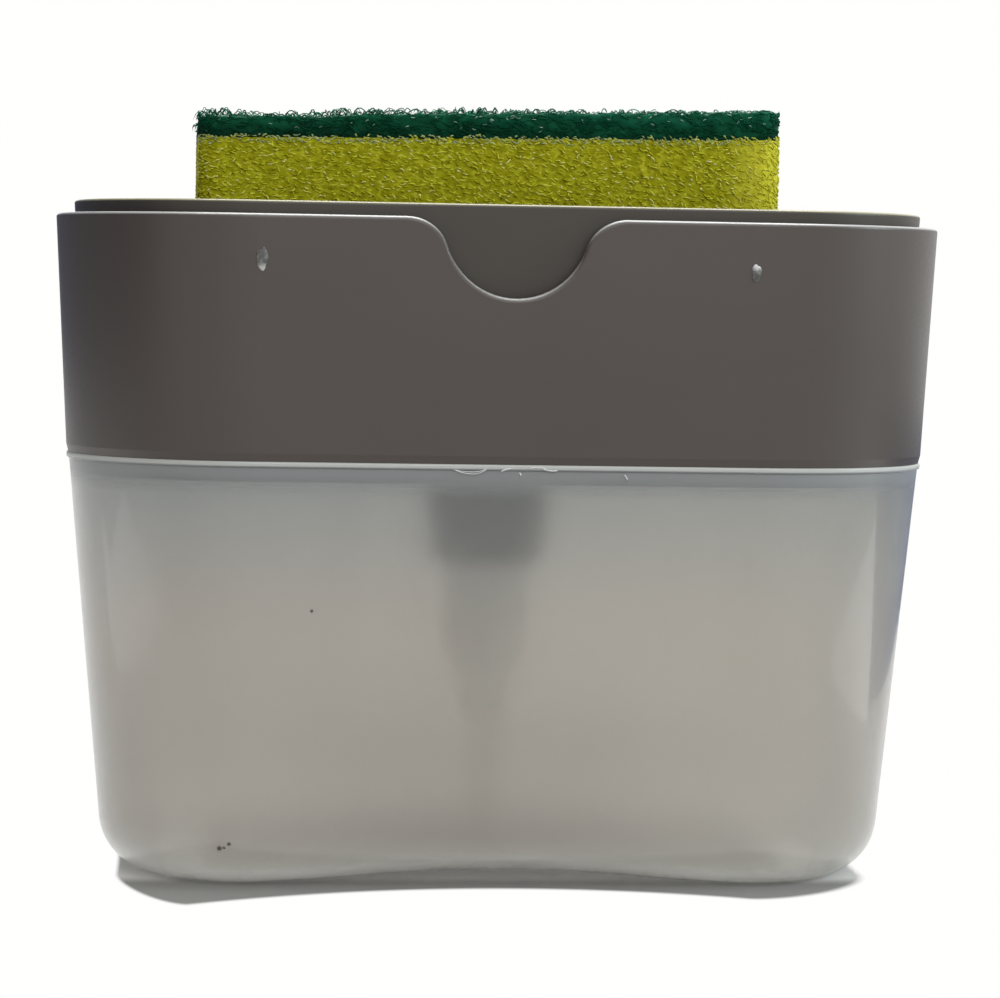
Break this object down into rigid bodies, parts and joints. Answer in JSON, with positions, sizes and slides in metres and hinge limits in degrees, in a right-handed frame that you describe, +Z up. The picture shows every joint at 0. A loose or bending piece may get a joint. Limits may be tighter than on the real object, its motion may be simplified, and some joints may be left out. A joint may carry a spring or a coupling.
{
  "type": "soap pump caddy",
  "caption": "Press-top soap caddy: frosted tapered reservoir, notched grey housing with a piston pump, and a lift-out sponge tray that doses soap when pressed.",
  "frame": {"origin": "centre of the base, on the surface that the caddy stands on", "axes": "+Z up; +X along the long side, to the right seen from the front; -Y is the front, where the housing has its finger notch"},
  "size_m": [0.1352, 0.088, 0.1162],
  "materials": {
    "reservoir_frosted": "translucent frosted polypropylene",
    "housing_grey": "satin moulded plastic",
    "tray_grey": "satin moulded plastic",
    "bush_grey": "satin moulded plastic",
    "nut_grey": "satin moulded plastic",
    "pump_white": "natural moulded polypropylene",
    "seal_soft": "soft moulded seal",
    "spring_steel": "drawn stainless wire",
    "ball_steel": "polished ball",
    "tube_clear": "extruded natural polyethylene",
    "foam_yellow": "open-cell polyurethane foam",
    "scour_green": "non-woven abrasive fibre"
  },
  "bodies": {
    "reservoir": {"reservoir": "reservoir_frosted"},
    "housing": {"upper_housing": "housing_grey", "pump_cylinder": "pump_white", "pump_nut": "nut_grey", "pump_gasket": "seal_soft", "stem_guide": "pump_white", "stem_wiper": "seal_soft", "inlet_cage": "pump_white", "return_spring": "spring_steel", "dip_tube": "tube_clear"},
    "plunger": {"pump_stem": "pump_white", "piston": "pump_white", "piston_seal": "seal_soft"},
    "tray": {"press_tray": "tray_grey", "outlet_bush": "bush_grey"},
    "sponge": {"sponge_foam": "foam_yellow", "scour_pad": "scour_green"},
    "inlet_ball": {"inlet_ball": "ball_steel"},
    "outlet_ball": {"outlet_ball": "ball_steel"}
  },
  "joints": [
    {"name": "housing_lift", "type": "slide", "parent": "reservoir", "child": "housing", "axis": [0, 0, 1], "range_m": [0, 0.07]},
    {"name": "tray_press", "type": "slide", "parent": "housing", "child": "plunger", "axis": [0, 0, -1], "range_m": [0, 0.01], "stiffness_N_per_m": 600, "springref_m": -0.01, "deforming": ["return_spring"]},
    {"name": "tray_lift", "type": "slide", "parent": "plunger", "child": "tray", "axis": [0, 0, 1], "range_m": [0, 0.03]},
    {"name": "sponge_lift", "type": "slide", "parent": "tray", "child": "sponge", "axis": [0, 0, 1], "range_m": [0, 0.03]},
    {"name": "inlet_ball_lift", "type": "slide", "parent": "housing", "child": "inlet_ball", "axis": [0, 0, 1], "range_m": [0, 0.0012]},
    {"name": "outlet_ball_lift", "type": "slide", "parent": "plunger", "child": "outlet_ball", "axis": [0, 0, 1], "range_m": [0, 0.001]}
  ]
}
